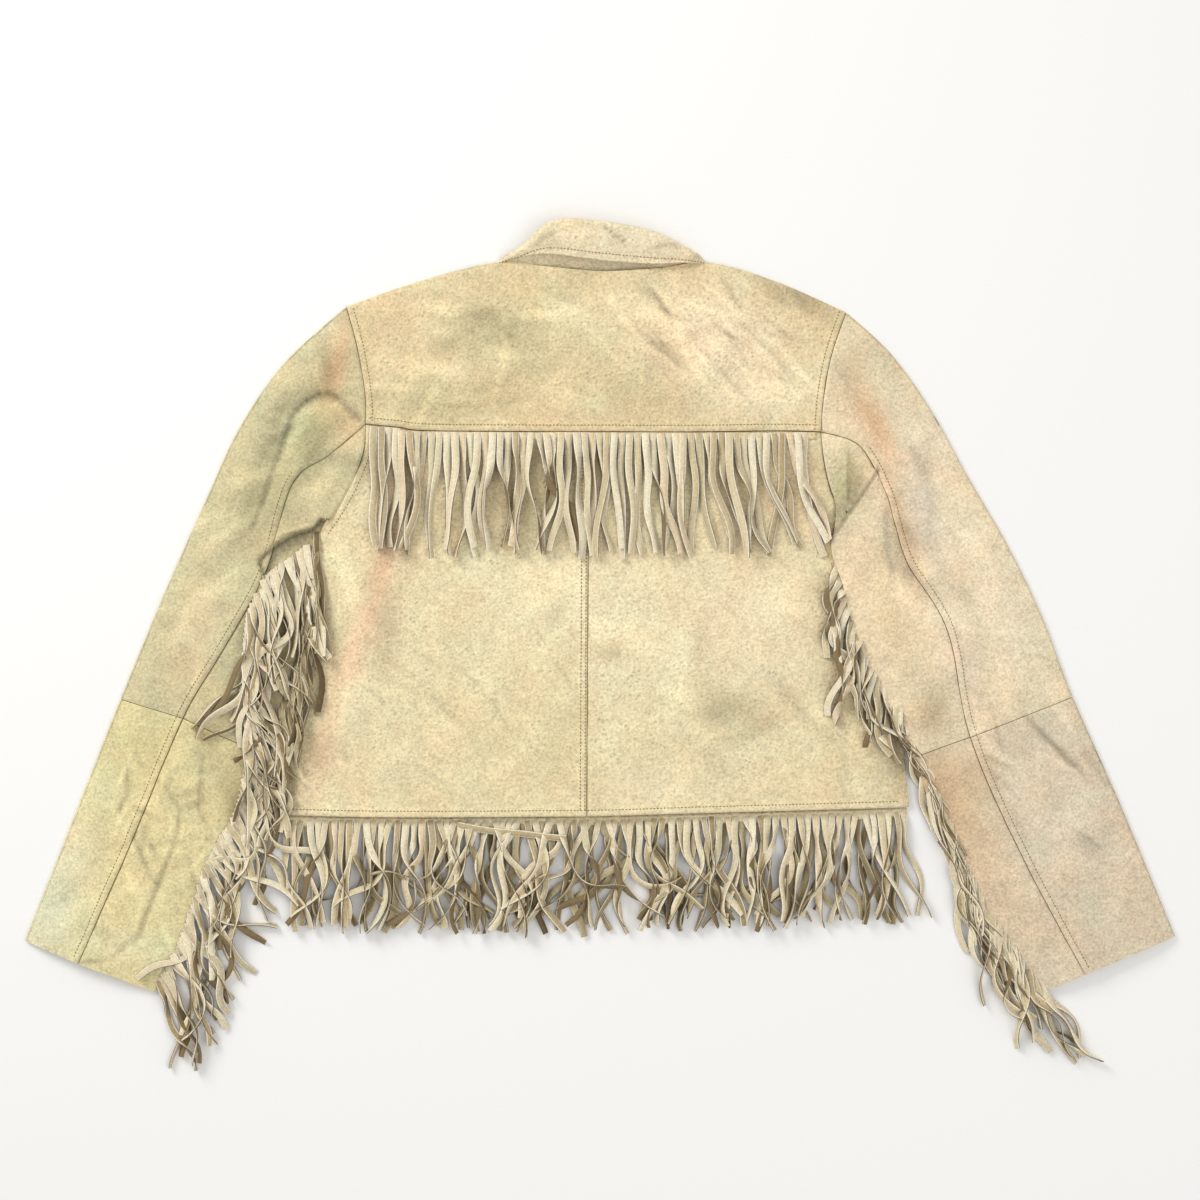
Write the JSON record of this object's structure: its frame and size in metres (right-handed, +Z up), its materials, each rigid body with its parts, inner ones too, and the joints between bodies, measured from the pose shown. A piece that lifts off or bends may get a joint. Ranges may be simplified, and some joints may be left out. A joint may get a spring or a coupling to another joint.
{
  "type": "fringed suede jacket",
  "caption": "Cropped pale buckskin jacket laid flat on its front, with cut suede fringe along the back yoke, the hem and both sleeves.",
  "frame": {"origin": "on the surface it lies on, under the middle of its length and of its spread from cuff to cuff", "axes": "+X towards the wearer's right sleeve, +Y from hem to collar, +Z up out of its back"},
  "size_m": [1.0334, 0.7724, 0.023],
  "materials": {
    "suede": "pale napped pigskin suede",
    "sleeve_suede": "pale napped suede, a little darker",
    "fringe_suede": "suede cut into strips"
  },
  "bodies": {
    "root": {"back_yoke": "suede", "back_left": "suede", "back_right": "suede", "front_left": "suede", "front_right": "suede", "collar_stand": "suede", "collar_leaf": "suede", "sleeve_left_upper_top": "sleeve_suede", "sleeve_left_upper_under": "sleeve_suede", "sleeve_left_lower_top": "sleeve_suede", "sleeve_left_lower_under": "sleeve_suede", "sleeve_right_upper_top": "sleeve_suede", "sleeve_right_upper_under": "sleeve_suede", "sleeve_right_lower_top": "sleeve_suede", "sleeve_right_lower_under": "sleeve_suede", "fringe_yoke": "fringe_suede", "fringe_hem_back": "fringe_suede", "fringe_hem_left_front": "fringe_suede", "fringe_hem_right_front": "fringe_suede", "fringe_sleeve_left": "fringe_suede", "fringe_sleeve_right": "fringe_suede"}
  },
  "joints": []
}
